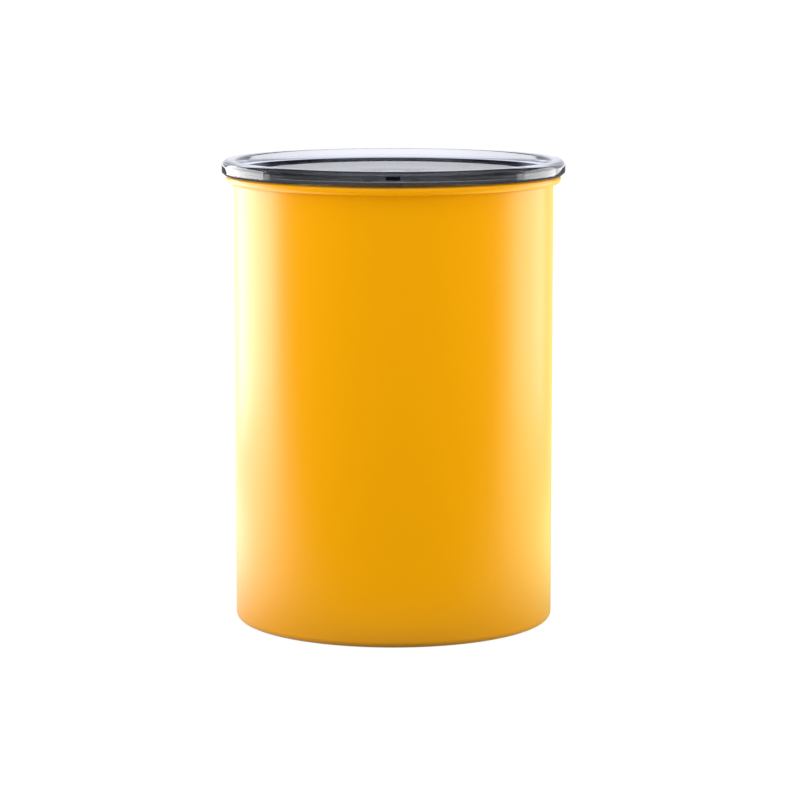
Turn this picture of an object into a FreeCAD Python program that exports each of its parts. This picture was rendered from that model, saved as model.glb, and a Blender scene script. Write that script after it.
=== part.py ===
import FreeCAD, Part

import math
import os

from FreeCAD import Vector

# Coffee canister: a painted steel can with a rolled rim, a clear press-on lid with its gasket,
# and inside the can a plunger lid whose swing handle lifts an air valve open.
# Millimetres, +Z up, origin on the table at the centre of the base, front towards -Y.

# Can, drawn from stainless sheet with its rim rolled outwards
body_od = 120.6
sheet = 0.6
can_height = 169.75         # table to the crest of the rolled rim
curl_d = 3.5                # outside diameter of the rolled rim
curl_turn = 290.0           # degrees that the rim is rolled through
base_corner_r = 2.5
base_ring = 8.0             # flat ring that the can stands on
base_rise = 2.0             # the middle of the base stands clear of the table
base_ramp = 2.5             # run of the slope between the ring and the middle
base_bend_r = 1.0

# Clear outer lid: a recessed panel inside a thick raised rim, with a plug ring below
lid_height = 5.35           # crest of the can's rim to the top of the lid
skirt_gap = 0.2             # room between the rolled rim and the lid's skirt
skirt_wall = 1.3
skirt_drop = 0.1            # the skirt reaches this far below the crest
lid_rim = 4.9               # width of the lid's raised rim at its top
rim_slope = 2.8             # how far the rim's inner face leans in down to the panel
recess = 4.5                # panel below the top of the rim
panel_t = 1.8
plug_gap = 0.8              # room between the plug ring and the can's wall
plug_wall = 1.9
plug_depth = 4.3
lid_round = 2.2             # outer top edge
rim_round = 1.2             # inner top edge
panel_round = 0.4           # corner where the rim's inner face meets the panel
plug_round = 0.8            # corner under the panel
lid_edge_round = 0.5
lid_chamfer_w = 1.0         # bevel on the skirt's outer bottom edge
lid_chamfer_h = 0.9
gate_w = 5.2                # land left by the moulding gate, at the front of the rim
gate_h = 1.5
gate_depth = 0.5
gate_drop = 2.4             # middle of the land below the top of the lid

# Silicone gasket, saddled on the rolled rim
gasket_t = 1.5              # groove's roof above the crest
gasket_lap = 0.1            # the gasket reaches this far down both sides of the crest
gasket_fit = 0.05           # room on either side in the groove
gasket_clear = 0.15         # room left round the rolled rim

# Plunger dish, moulded, with a groove for the wiper seal round its foot
dish_gap = 3.2              # room between the dish's wall and the can's wall
dish_wall = 2.0
dish_floor = 2.4
dish_height = 24.0
dish_corner_r = 3.0
guide_clear = 0.9           # room between the dish's flanges and the can's wall
flange_t = 1.6
flange_round = 0.5
groove_h = 6.0
rib_count = 8
rib_t = 1.8
rib_h = 5.0
rib_gap = 3.0               # ribs stop this far outside the screw bosses
seat_bore = 16.0            # hole that the air leaves by
seat_wall = 2.5
seat_rise = 1.8
grid_t = 1.2                # guard bars across the hole
grid_bar = 1.6
grid_count = 3

# Wiper seal, silicone, with two lips that lean up against the can's wall
seal_body = 1.5
seal_clear = 0.25           # room left between the lips and the can's wall
lip_tip_round = 0.2
lip_start_shares = (0.12, 0.54)     # foot of each lip, as a share of the groove's height
lip_rise_share = 0.2                # climb from a lip's foot to its tip
lip_tip_share = 0.1                 # height of a lip's tip
lip_root_share = 0.22               # height of a lip where it leaves the seal

# Valve housing: a vented turret over the hole, with two ears for the handle
housing_od = 34.0
housing_wall = 2.0
housing_height = 14.6       # dish floor to the top of the turret
housing_top_t = 2.4
housing_round = 1.5
guide_boss_d = 8.0
guide_boss_h = 2.0
vent_count = 4
vent_w = 11.0
vent_h = 5.6
vent_sill = 1.6             # bottom of the vents above the dish floor
vent_round = 1.5
boss_d = 6.4                # screw bosses on the dish floor
boss_h = 4.0
boss_gap = 0.8
boss_count = 4
lug_t = 2.0
ear_space = 16.4            # clear width between the ears
ear_t = 4.0
ear_foot = 11.0             # width of an ear where it stands on the turret
ear_relief = 0.2            # the ears' tops stay below the handle's hubs

# Screws that hold the housing down
screw_d = 2.9
screw_length = 6.6
screw_head_d = 5.6
screw_head_h = 1.9
screw_head_round = 0.8
screw_hole_d = 3.3
screw_slot_w = 0.8
screw_slot_depth = 0.8
screw_end_gap = 0.3

# Swing handle: a half ring on two legs, with a cam and a stub shaft at the end of each leg
handle_margin = 13.5        # room between the folded handle and the dish's wall
handle_w = 6.4
handle_t = 5.0
handle_edge_r = 2.0
handle_bend_r = 7.0
hub_r = 3.8
hub_gap = 0.4               # side play between a hub and its ear
axle_clear = 0.8            # room under the hubs
shaft_d = 3.8
shaft_clear = 0.05          # running fit in the ears
shaft_end_gap = 0.2
cam_w = 2.6
cam_clear = 0.2             # room between the cams and the button
cam_foot_angle = -60.0      # where the cam's nose runs back into the hub, in degrees
handle_turn = 90.0          # from folded to upright, in degrees
head_clear = 2.0            # room between the raised handle and the outer lid

# Valve: a stem with a button on top, and a silicone disc below that covers the hole
valve_lift = 3.0
stem_d = 5.0
stem_clear = 0.05           # running fit in the housing
stem_flange_d = 15.0
stem_flange_t = 1.4
tail_d = 4.0
tail_end = 1.0              # tail below the retainer
disc_t = 2.0
disc_lap = 0.6              # the disc covers the seat's rim with this much to spare
retainer_d = 10.0
retainer_t = 0.8
button_t = 3.4
button_dome = 1.0
button_round = 0.6
button_socket = 1.8

# Valve spring
wire_d = 0.8
spring_gap = 0.5            # room between the spring and the housing's guide boss
spring_turns = 3.5
spring_end_gap = 0.15
spring_quarter = math.pi / 2

# One overrun for every cut
overrun = 1.0

# Radii and levels of the can and the lid
can_r = body_od / 2
can_in = can_r - sheet
curl_r = curl_d / 2
curl_mid = can_in + curl_r
curl_z = can_height - curl_r
curl_out = can_in + curl_d
skirt_in = curl_out + skirt_gap
lid_r = skirt_in + skirt_wall
lid_top = can_height + lid_height
lid_bottom = can_height - skirt_drop
panel_top = lid_top - recess
panel_under = panel_top - panel_t
rim_in = lid_r - lid_rim
panel_r = rim_in - rim_slope
plug_out = can_in - plug_gap
plug_in = plug_out - plug_wall
groove_roof = can_height + gasket_t

# Radii and levels of the plunger, measured from its own underside
dish_r = can_in - dish_gap
dish_in = dish_r - dish_wall
flange_r = can_in - guide_clear
seat_r = seat_bore / 2
seat_out = seat_r + seat_wall
seat_top = dish_floor + seat_rise
disc_top = seat_top + disc_t
stem_flange_top = disc_top + stem_flange_t
housing_r = housing_od / 2
housing_in = housing_r - housing_wall
housing_top = dish_floor + housing_height
housing_roof = housing_top - housing_top_t
boss_r = boss_d / 2
boss_circle = housing_r + boss_gap + boss_r
boss_top = dish_floor + boss_h
boss_step = 360.0 / boss_count
ear_in = ear_space / 2
ear_out = ear_in + ear_t
cam_in = ear_out + hub_gap
cam_out = cam_in + cam_w
axis_z = housing_top + hub_r + axle_clear
button_under = axis_z + hub_r + cam_clear
handle_ring = dish_in - handle_margin - handle_w / 2
handle_reach = handle_ring + handle_w / 2
plunger_z = panel_under - head_clear - handle_reach - axis_z


def in_section(u, v):
    """A point of a profile that is turned about the vertical axis."""
    return Vector(u, 0, v)


def in_plan(u, v):
    """A point of a profile seen from above."""
    return Vector(u, v, 0)


def in_side(u, v):
    """A point of a profile seen along the handle's axis."""
    return Vector(0, u, v)


def rounded_wire(corners, place=in_section):
    """A closed wire through corners (u, v) or (u, v, radius), each radius as a tangent arc."""
    points = [place(c[0], c[1]) for c in corners]
    radii = [c[2] if len(c) > 2 else 0 for c in corners]
    runs = []
    for i, here in enumerate(points):
        if not radii[i]:
            runs.append((here, None, here))
            continue
        back = (points[i - 1] - here).normalize()
        ahead = (points[(i + 1) % len(points)] - here).normalize()
        half = back.getAngle(ahead) / 2
        bisector = (back + ahead).normalize()
        reach = radii[i] / math.tan(half)
        middle = here + bisector * (radii[i] / math.sin(half) - radii[i])
        runs.append((here + back * reach, middle, here + ahead * reach))
    edges = []
    for i, (start, middle, end) in enumerate(runs):
        if middle:
            edges.append(Part.Arc(start, middle, end).toShape())
        following = runs[(i + 1) % len(runs)][0]
        edges.append(Part.LineSegment(end, following).toShape())
    return Part.Wire(edges)


def turned(wire):
    """The solid that a section makes when it is turned about the vertical axis."""
    return Part.Face(wire).revolve(Vector(), Vector(0, 0, 1), 360)


def plate(wire, thickness):
    """The solid that a flat wire makes when it is raised by its thickness."""
    return Part.Face(wire).extrude(thickness)


def rod(radius, low, high, x=0, y=0):
    """An upright cylinder between two levels."""
    return Part.makeCylinder(radius, high - low, Vector(x, y, low))


def turn_about_z(shape, degrees):
    """A copy of a shape turned about the vertical axis."""
    copy = shape.copy()
    copy.rotate(Vector(), Vector(0, 0, 1), degrees)
    return copy


def around(shape, count, start=0.0):
    """Copies of a shape spaced evenly about the vertical axis."""
    return [turn_about_z(shape, start + i * 360.0 / count) for i in range(count)]


def save(name, shape, raised_by=0):
    """Writes one sub-part, moved up to its place."""
    placed = shape.copy()
    placed.translate(Vector(0, 0, raised_by))
    for solid in placed.Solids:
        if not solid.isValid():
            raise ValueError("not a valid solid: " + name)
    placed.exportStep(os.path.join("parts", name + ".step"))
    print(name, len(placed.Solids), "solid", round(placed.Volume, 1), "mm3")


def curl_point(radius, degrees):
    """A point on the rolled rim's section."""
    angle = math.radians(degrees)
    return in_section(curl_mid + radius * math.cos(angle), curl_z + radius * math.sin(angle))


def canister_body():
    """One sheet all the way: base, corner, wall, and the rim rolled outwards and under."""
    ring_out = can_r - base_corner_r
    ring_in = ring_out - base_ring
    middle_r = ring_in - base_ramp
    slope = math.atan2(base_rise, base_ramp)
    shift = sheet * math.tan(slope / 2)
    bend_out = base_bend_r + sheet
    inner_corner = base_corner_r - sheet
    pan = turned(rounded_wire([
        (0, base_rise), (middle_r, base_rise, base_bend_r), (ring_in, 0, bend_out),
        (can_r, 0, base_corner_r), (can_r, curl_z), (can_in, curl_z),
        (can_in, sheet, inner_corner), (ring_in + shift, sheet, base_bend_r),
        (middle_r + shift, base_rise + sheet, bend_out), (0, base_rise + sheet)]))
    inner = curl_r - sheet
    start = 180.0
    end = start - curl_turn
    half_way = (start + end) / 2
    roll = Part.Wire([
        Part.Arc(*[curl_point(curl_r, a) for a in (start, half_way, end)]).toShape(),
        Part.LineSegment(curl_point(curl_r, end), curl_point(inner, end)).toShape(),
        Part.Arc(*[curl_point(inner, a) for a in (end, half_way, start)]).toShape(),
        Part.LineSegment(curl_point(inner, start), curl_point(curl_r, start)).toShape()])
    return pan.fuse(turned(roll)).removeSplitter()


def outer_lid():
    """Clear moulding: panel, raised rim, skirt over the rolled rim, and the plug ring."""
    body = turned(rounded_wire([
        (0, panel_top), (panel_r, panel_top, panel_round), (rim_in, lid_top, rim_round),
        (lid_r, lid_top, lid_round), (lid_r, lid_bottom + lid_chamfer_h),
        (lid_r - lid_chamfer_w, lid_bottom), (skirt_in, lid_bottom), (skirt_in, groove_roof),
        (plug_out, groove_roof), (plug_out, panel_under - plug_depth, lid_edge_round),
        (plug_in, panel_under - plug_depth, lid_edge_round), (plug_in, panel_under, plug_round),
        (0, panel_under)]))
    half_w = gate_w / 2
    gate_z = lid_top - gate_drop - gate_h / 2
    gate = Part.makeBox(gate_w, gate_depth + overrun, gate_h,
                        Vector(-half_w, -lid_r - overrun, gate_z))
    return body.cut(gate)


def outer_lid_gasket():
    """Flat silicone ring in the lid's groove, hollowed below to sit over the rolled rim."""
    inside = plug_out + gasket_fit
    outside = skirt_in - gasket_fit
    bottom = can_height - gasket_lap
    ring = turned(rounded_wire([(inside, bottom), (outside, bottom),
                                (outside, groove_roof), (inside, groove_roof)]))
    saddle = Part.makeTorus(curl_mid, curl_r + gasket_clear, Vector(0, 0, curl_z))
    return ring.cut(saddle)


def dish_shell():
    """Section of the plunger: floor with the raised valve seat, wall, and its flanges."""
    groove_top = flange_t + groove_h
    collar_top = groove_top + flange_t
    rim_under = dish_height - flange_t
    return turned(rounded_wire([
        (seat_r, 0), (flange_r, 0, flange_round), (flange_r, flange_t), (dish_r, flange_t),
        (dish_r, groove_top), (flange_r, groove_top), (flange_r, collar_top, flange_round),
        (dish_r, collar_top), (dish_r, rim_under), (flange_r, rim_under, flange_round),
        (flange_r, dish_height, flange_round), (dish_in, dish_height, flange_round),
        (dish_in, dish_floor, dish_corner_r), (seat_out, dish_floor),
        (seat_out, seat_top, flange_round), (seat_r, seat_top)]))


def plunger_dish():
    """The moulded inner lid, with stiffening ribs, screw bosses and the guard bars."""
    dish = dish_shell()
    rib_start = boss_circle + boss_r + rib_gap
    rib = Part.Face(Part.makePolygon([
        in_section(rib_start, dish_floor), in_section(dish_in + dish_wall / 2, dish_floor),
        in_section(dish_in + dish_wall / 2, dish_floor + rib_h),
        in_section(rib_start + rib_h, dish_floor + rib_h), in_section(rib_start, dish_floor)]))
    rib.translate(Vector(0, -rib_t / 2, 0))
    rib = rib.extrude(Vector(0, rib_t, 0))
    boss = rod(boss_r, dish_floor, boss_top, boss_circle)
    bar = Part.makeBox(seat_r + seat_wall / 2, grid_bar, grid_t, Vector(0, -grid_bar / 2, 0))
    added = around(rib, rib_count, 180.0 / rib_count)
    added += around(boss, boss_count, boss_step / 2)
    added += around(bar, grid_count, 90.0)
    added.append(rod(grid_bar, 0, grid_t))
    dish = dish.fuse(added)
    pilot_floor = boss_top + lug_t - screw_length - screw_end_gap
    pilot = rod(screw_d / 2, pilot_floor, boss_top + overrun, boss_circle)
    return dish.cut(around(pilot, boss_count, boss_step / 2)).removeSplitter()


def plunger_seal():
    """Silicone ring sprung into the dish's groove, with two upward-leaning lips."""
    tip = can_in - seal_clear
    face = dish_r + seal_body
    corners = [(dish_r, flange_t), (face, flange_t)]
    for share in lip_start_shares:
        foot = flange_t + share * groove_h
        tip_z = foot + lip_rise_share * groove_h
        corners += [(face, foot), (tip, tip_z, lip_tip_round),
                    (tip, tip_z + lip_tip_share * groove_h, lip_tip_round),
                    (face, foot + lip_root_share * groove_h)]
    corners += [(face, flange_t + groove_h), (dish_r, flange_t + groove_h)]
    return turned(rounded_wire(corners))


def housing_lug():
    """One screw lug: a round pad on its boss, joined to the turret's wall."""
    pad = rod(boss_r, boss_top, boss_top + lug_t, boss_circle)
    arm_start = housing_r - housing_wall / 2
    arm = Part.makeBox(boss_circle - arm_start, boss_d, lug_t,
                       Vector(arm_start, -boss_r, boss_top))
    hole = rod(screw_hole_d / 2, boss_top - overrun, boss_top + lug_t + overrun, boss_circle)
    return pad.fuse(arm), hole


def ear():
    """One ear of the turret, tapering to a round top about the handle's axis."""
    top_r = hub_r - ear_relief
    foot = housing_top - housing_top_t / 2
    half_foot = ear_foot / 2
    span = math.hypot(half_foot, axis_z - foot)
    lean = math.atan2(axis_z - foot, half_foot) + math.asin(top_r / span)
    u = top_r * math.sin(lean)
    v = axis_z + top_r * math.cos(lean)
    cheek = Part.Wire([
        Part.LineSegment(in_side(-half_foot, foot), in_side(half_foot, foot)).toShape(),
        Part.LineSegment(in_side(half_foot, foot), in_side(u, v)).toShape(),
        Part.Arc(in_side(u, v), in_side(0, axis_z + top_r), in_side(-u, v)).toShape(),
        Part.LineSegment(in_side(-u, v), in_side(-half_foot, foot)).toShape()])
    blade = plate(cheek, Vector(ear_t, 0, 0))
    blade.translate(Vector(ear_in, 0, 0))
    bore = Part.makeCylinder(shaft_d / 2 + shaft_clear, ear_t + 2 * overrun,
                             Vector(ear_in - overrun, 0, axis_z), Vector(1, 0, 0))
    return blade.cut(bore)


def valve_housing():
    """The turret: vented wall, roof with the stem's guide, screw lugs and the two ears."""
    guide_in = stem_d / 2 + stem_clear
    guide_out = guide_boss_d / 2
    guide_low = housing_roof - guide_boss_h
    turret = turned(rounded_wire([
        (guide_in, guide_low), (guide_out, guide_low), (guide_out, housing_roof),
        (housing_in, housing_roof), (housing_in, dish_floor), (housing_r, dish_floor),
        (housing_r, housing_top, housing_round), (guide_in, housing_top)]))
    sill = dish_floor + vent_sill
    half_w = vent_w / 2
    vent = rounded_wire([(-half_w, sill, vent_round), (half_w, sill, vent_round),
                         (half_w, sill + vent_h, vent_round), (-half_w, sill + vent_h, vent_round)])
    vent = plate(vent, Vector(0, housing_r + overrun, 0))
    lug, hole = housing_lug()
    cheek = ear()
    turret = turret.cut(around(vent, vent_count))
    turret = turret.fuse(around(lug, boss_count, boss_step / 2) + [cheek, turn_about_z(cheek, 180)])
    core = rod(housing_in, dish_floor, guide_low)
    return turret.cut(around(hole, boss_count, boss_step / 2) + [core]).removeSplitter()


def housing_screws():
    """Pan-head screws through the lugs into the bosses, one solid each."""
    seat = boss_top + lug_t
    section = rounded_wire([
        (0, seat - screw_length), (screw_d / 2, seat - screw_length), (screw_d / 2, seat),
        (screw_head_d / 2, seat), (screw_head_d / 2, seat + screw_head_h, screw_head_round),
        (0, seat + screw_head_h)])
    screw = turned(section)
    half_head = screw_head_d / 2 + overrun
    slot = Part.makeBox(2 * half_head, screw_slot_w, screw_slot_depth + overrun,
                        Vector(-half_head, -screw_slot_w / 2, seat + screw_head_h - screw_slot_depth))
    screw = screw.cut(slot)
    screw.translate(Vector(boss_circle, 0, 0))
    return Part.makeCompound(around(screw, boss_count, boss_step / 2))


def cam_outline():
    """Involute cam: it raises a flat face in step with the turn of the handle."""
    pitch = valve_lift / math.radians(handle_turn)
    steps = 8

    def involute(turn):
        support = hub_r + pitch * turn
        angle = math.pi / 2 - turn
        u = support * math.cos(angle) + pitch * math.sin(angle)
        v = support * math.sin(angle) - pitch * math.cos(angle)
        return in_side(u, axis_z + v)

    def on_hub(degrees):
        angle = math.radians(degrees)
        return in_side(hub_r * math.cos(angle), axis_z + hub_r * math.sin(angle))

    flank = Part.BSplineCurve()
    flank.interpolate([involute(math.radians(handle_turn) * i / steps) for i in range(steps + 1)])
    nose = involute(math.radians(handle_turn))
    foot = on_hub(cam_foot_angle)
    far_side = (90.0 + 360.0 + cam_foot_angle) / 2
    return Part.Wire([
        flank.toShape(), Part.LineSegment(nose, foot).toShape(),
        Part.Arc(foot, on_hub(far_side), on_hub(90.0)).toShape(),
        Part.LineSegment(on_hub(90.0), involute(0)).toShape()])


def handle_path():
    """Line of the handle seen from above: leg, bend, half ring, bend, leg."""
    bend_mid_r = handle_ring - handle_bend_r
    bend_x = math.sqrt(bend_mid_r ** 2 - handle_bend_r ** 2)
    meet = math.atan2(handle_bend_r, bend_x)
    bend_turn = (meet - math.pi / 2) / 2
    half_bend = in_plan(bend_x + handle_bend_r * math.cos(bend_turn),
                        handle_bend_r + handle_bend_r * math.sin(bend_turn))
    ring_start = in_plan(handle_ring * math.cos(meet), handle_ring * math.sin(meet))

    def mirrored(p):
        return Vector(-p.x, p.y, 0)

    leg_start = in_plan(cam_in, 0)
    bend_start = in_plan(bend_x, 0)
    path = Part.Wire([
        Part.LineSegment(leg_start, bend_start).toShape(),
        Part.Arc(bend_start, half_bend, ring_start).toShape(),
        Part.Arc(ring_start, in_plan(0, handle_ring), mirrored(ring_start)).toShape(),
        Part.Arc(mirrored(ring_start), mirrored(half_bend), mirrored(bend_start)).toShape(),
        Part.LineSegment(mirrored(bend_start), mirrored(leg_start)).toShape()])
    path.translate(Vector(0, 0, axis_z))
    return path


def swing_handle():
    """Half-ring grip on two legs, each leg ending in a hub with its cam and stub shaft."""
    half_w = handle_w / 2
    half_t = handle_t / 2
    section = rounded_wire([
        (-half_w, axis_z - half_t, handle_edge_r), (half_w, axis_z - half_t, handle_edge_r),
        (half_w, axis_z + half_t, handle_edge_r), (-half_w, axis_z + half_t, handle_edge_r)], in_side)
    section.translate(Vector(cam_in, 0, 0))
    grip = handle_path().makePipeShell([section], True, False)
    along = Vector(1, 0, 0)
    cam = plate(cam_outline(), Vector(cam_w, 0, 0))
    cam.translate(Vector(cam_in, 0, 0))
    shaft_start = ear_in + shaft_end_gap
    shaft = Part.makeCylinder(shaft_d / 2, cam_out - shaft_start,
                              Vector(shaft_start, 0, axis_z), along)
    hub = Part.makeCylinder(hub_r, 2 * cam_w, Vector(cam_in, 0, axis_z), along)
    ends = [cam, shaft, hub]
    mirrored = [part.mirror(Vector(), along) for part in ends]
    return grip.fuse(ends + mirrored).removeSplitter()


def valve_stem():
    """Stem with a flange that presses the disc down, and a tail that carries it."""
    tail_low = seat_top - retainer_t - tail_end
    return turned(rounded_wire([
        (0, tail_low), (tail_d / 2, tail_low), (tail_d / 2, disc_top), (stem_flange_d / 2, disc_top),
        (stem_flange_d / 2, stem_flange_top), (stem_d / 2, stem_flange_top),
        (stem_d / 2, button_under + button_socket), (0, button_under + button_socket)]))


def valve_button():
    """Round button on top of the stem. The handle's cams lift it by its flat underside."""
    top = button_under + button_t
    rim_z = top - button_dome
    dome_r = (cam_out ** 2 + button_dome ** 2) / (2 * button_dome)
    half_lean = math.asin(cam_out / dome_r) / 2
    crown = in_section(dome_r * math.sin(half_lean), top - dome_r * (1 - math.cos(half_lean)))
    outline = Part.Wire([
        Part.LineSegment(in_section(0, button_under), in_section(cam_out, button_under)).toShape(),
        Part.LineSegment(in_section(cam_out, button_under), in_section(cam_out, rim_z)).toShape(),
        Part.Arc(in_section(cam_out, rim_z), crown, in_section(0, top)).toShape(),
        Part.LineSegment(in_section(0, top), in_section(0, button_under)).toShape()])
    button = turned(outline)
    rims = [e for e in button.Edges if len(e.Vertexes) == 1]
    rim = [e for e in rims if math.isclose(e.Vertexes[0].Z, rim_z)]
    button = button.makeFillet(button_round, rim)
    return button.cut(rod(stem_d / 2, button_under - overrun, button_under + button_socket))


def valve_disc():
    """Flat silicone disc that closes the hole."""
    low = rod(seat_out + disc_lap, seat_top, disc_top)
    return low.cut(rod(tail_d / 2, seat_top - overrun, disc_top + overrun))


def disc_retainer():
    """Steel washer pushed on the tail under the disc."""
    low = seat_top - retainer_t
    washer = rod(retainer_d / 2, low, seat_top)
    return washer.cut(rod(tail_d / 2, low - overrun, seat_top + overrun))


def tangent_arc(start, corner, end):
    """The arc that leaves start towards corner and reaches end along corner to end."""
    middle = (start + end) * 0.5
    half = (end - start).Length / 2
    lean = corner - middle
    turn = math.atan2(lean.Length, half)
    return Part.Arc(start, middle + lean.normalize() * (half * math.tan(turn / 2)), end).toShape()


def biarc(p, along_p, q, along_q):
    """Two arcs from p to q that keep the given directions at both ends."""
    v = q - p
    both = along_p + along_q
    spread = 2 * (1 - along_p.dot(along_q))
    reach = (math.sqrt(v.dot(both) ** 2 + spread * v.dot(v)) - v.dot(both)) / spread
    first = p + along_p * reach
    second = q - along_q * reach
    joint = (first + second) * 0.5
    return [tangent_arc(p, first, joint), tangent_arc(joint, second, q)]


def valve_spring():
    """Compression spring round the stem, from the stem's flange to the housing's roof."""
    mean_r = guide_boss_d / 2 + spring_gap + wire_d / 2
    low = stem_flange_top + spring_end_gap + wire_d / 2
    high = housing_roof - spring_end_gap - wire_d / 2
    sweep = spring_turns * 2 * math.pi
    climb = (high - low) / sweep

    def place(angle):
        return Vector(mean_r * math.cos(angle), mean_r * math.sin(angle), low + climb * angle)

    def heading(angle):
        return Vector(-mean_r * math.sin(angle), mean_r * math.cos(angle), climb).normalize()

    quarters = round(sweep / spring_quarter)
    angles = [sweep * i / quarters for i in range(quarters + 1)]
    edges = []
    for a, b in zip(angles, angles[1:]):
        edges += biarc(place(a), heading(a), place(b), heading(b))
    path = Part.Wire(edges)
    circle = Part.Wire(Part.makeCircle(wire_d / 2, place(0), heading(0)))
    coil = path.makePipeShell([circle], True, False)
    steps = 48
    points = [place(2 * math.pi * i / steps) for i in range(int(spring_turns * steps) + 1)]
    gap = min(points[i].distanceToPoint(points[j]) for i in range(len(points))
              for j in range(i + steps // 2, len(points))) - wire_d
    expected = math.pi * wire_d ** 2 / 4 * path.Length
    print("spring: least gap to itself", round(gap, 2), "volume share", round(coil.Volume / expected, 3))
    return coil


def main():
    os.makedirs("parts", exist_ok=True)
    save("canister_body", canister_body())
    save("outer_lid", outer_lid())
    save("outer_lid_gasket", outer_lid_gasket())
    save("plunger_dish", plunger_dish(), plunger_z)
    save("plunger_seal", plunger_seal(), plunger_z)
    save("valve_housing", valve_housing(), plunger_z)
    save("housing_screws", housing_screws(), plunger_z)
    save("swing_handle", swing_handle(), plunger_z)
    save("valve_stem", valve_stem(), plunger_z)
    save("valve_button", valve_button(), plunger_z)
    save("valve_disc", valve_disc(), plunger_z)
    save("disc_retainer", disc_retainer(), plunger_z)
    save("valve_spring", valve_spring(), plunger_z)
    floor_gap = plunger_z - (base_rise + sheet)
    print("plunger underside", round(plunger_z, 3), "axis", round(plunger_z + axis_z, 3),
          "room below", round(floor_gap, 3), "top of lid", round(lid_top, 3))


main()
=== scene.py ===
import math

import bmesh
import bpy
from mathutils import Matrix, Vector


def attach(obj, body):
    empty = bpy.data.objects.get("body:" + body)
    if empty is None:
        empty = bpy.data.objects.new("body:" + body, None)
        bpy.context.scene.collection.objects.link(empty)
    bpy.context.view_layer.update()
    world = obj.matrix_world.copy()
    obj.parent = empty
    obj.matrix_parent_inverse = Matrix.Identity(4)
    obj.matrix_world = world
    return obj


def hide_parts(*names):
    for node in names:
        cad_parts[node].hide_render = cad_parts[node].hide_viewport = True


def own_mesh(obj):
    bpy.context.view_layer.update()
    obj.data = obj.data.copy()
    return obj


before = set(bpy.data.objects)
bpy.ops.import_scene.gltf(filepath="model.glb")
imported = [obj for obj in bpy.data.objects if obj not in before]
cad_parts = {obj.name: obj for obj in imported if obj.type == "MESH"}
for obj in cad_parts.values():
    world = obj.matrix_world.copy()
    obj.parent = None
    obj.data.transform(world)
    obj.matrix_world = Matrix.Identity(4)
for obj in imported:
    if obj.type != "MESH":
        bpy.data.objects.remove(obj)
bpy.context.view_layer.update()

# Canister body: one can drawn from thin stainless sheet, with its rim rolled outwards and its base
# panel pressed up so that it stands on a ring. Outside and over the rim it is powder coated golden
# yellow, and inside it is bare steel with the fine rings that drawing leaves.
mm = 0.001
can_r = 60.3
sheet = 0.6
can_in = can_r - sheet
can_height = 169.75
curl_r = 1.75
curl_mid = can_in + curl_r
curl_z = can_height - curl_r
curl_end = math.radians(-110)
base_corner_r = 2.5
base_rise = 2.0
base_bend_r = 1.0
ring_in = 49.8
middle_r = 47.3
ramp_shift = 0.2
paint_edge = math.radians(150)
turn_segments = 240
arc_step = math.radians(9)


def rounded(*corners):
    """Points of an outline. A corner is (radius, height) or (radius, height, rounding), in mm."""
    points = []
    for i, corner in enumerate(corners):
        here = Vector(corner[:2])
        if len(corner) == 2:
            points.append(here)
            continue
        back = (Vector(corners[i - 1][:2]) - here).normalized()
        ahead = (Vector(corners[(i + 1) % len(corners)][:2]) - here).normalized()
        half = back.angle(ahead) / 2
        middle = here + (back + ahead).normalized() * (corner[2] / math.sin(half))
        spoke = here + back * (corner[2] / math.tan(half)) - middle
        turn = math.copysign(math.pi - 2 * half, (-back).cross(ahead))
        steps = max(2, math.ceil(abs(turn) / arc_step))
        points += [middle + Matrix.Rotation(turn * k / steps, 2) @ spoke for k in range(steps + 1)]
    return points


def rolled(radius, start, end):
    """Points of an arc of the can's rolled rim."""
    steps = math.ceil(abs(end - start) / arc_step)
    angles = [start + (end - start) * k / steps for k in range(steps + 1)]
    return [Vector((curl_mid + radius * math.cos(a), curl_z + radius * math.sin(a))) for a in angles]


def shaded(piece, degrees=32):
    """Smooth faces, with the edges sharper than this left crisp."""
    piece.data.shade_smooth()
    piece.data.set_sharp_from_angle(angle=math.radians(degrees))
    return piece


def as_piece(name, mesh, *materials):
    """An object for a mesh, with its materials."""
    piece = bpy.data.objects.new(name, mesh)
    bpy.context.scene.collection.objects.link(piece)
    for material in materials:
        mesh.materials.append(material)
    return piece


def turned(name, outline, materials, finishes=None):
    """A closed outline turned about the canister's axis. finishes gives each face ring's material."""
    build = bmesh.new()
    angles = [2 * math.pi * k / turn_segments for k in range(turn_segments)]
    rings = []
    for r, z in outline:
        spin = angles if r > 0 else angles[:1]
        rings.append([build.verts.new((r * mm * math.cos(a), r * mm * math.sin(a), z * mm)) for a in spin])
    for i, (ring, following) in enumerate(zip(rings, rings[1:] + rings[:1])):
        if len(ring) == len(following) == 1:
            continue
        for k in range(turn_segments):
            near, far = k, (k + 1) % turn_segments
            corners = [ring[near % len(ring)], ring[far % len(ring)],
                       following[far % len(following)], following[near % len(following)]]
            face = build.faces.new(dict.fromkeys(corners))
            face.material_index = finishes[i] if finishes else 0
    bmesh.ops.recalc_face_normals(build, faces=build.faces)
    mesh = bpy.data.meshes.new(name)
    build.to_mesh(mesh)
    build.free()
    return shaded(as_piece(name, mesh, *materials))


def hexed(code):
    """Linear colour of an sRGB hex code."""
    shares = [int(code[i:i + 2], 16) / 255 for i in (1, 3, 5)]
    return [s / 12.92 if s <= 0.04045 else ((s + 0.055) / 1.055) ** 2.4 for s in shares] + [1.0]


def add(tree, kind, feeds={}, **settings):
    """Adds a node. settings are its properties, and feeds its inputs: a value, or a socket to link."""
    made = tree.nodes.new(kind)
    for name, value in settings.items():
        setattr(made, name, value)
    for name, value in feeds.items():
        if isinstance(value, bpy.types.NodeSocket):
            tree.links.new(value, made.inputs[name])
        else:
            made.inputs[name].default_value = value
    return made


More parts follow.
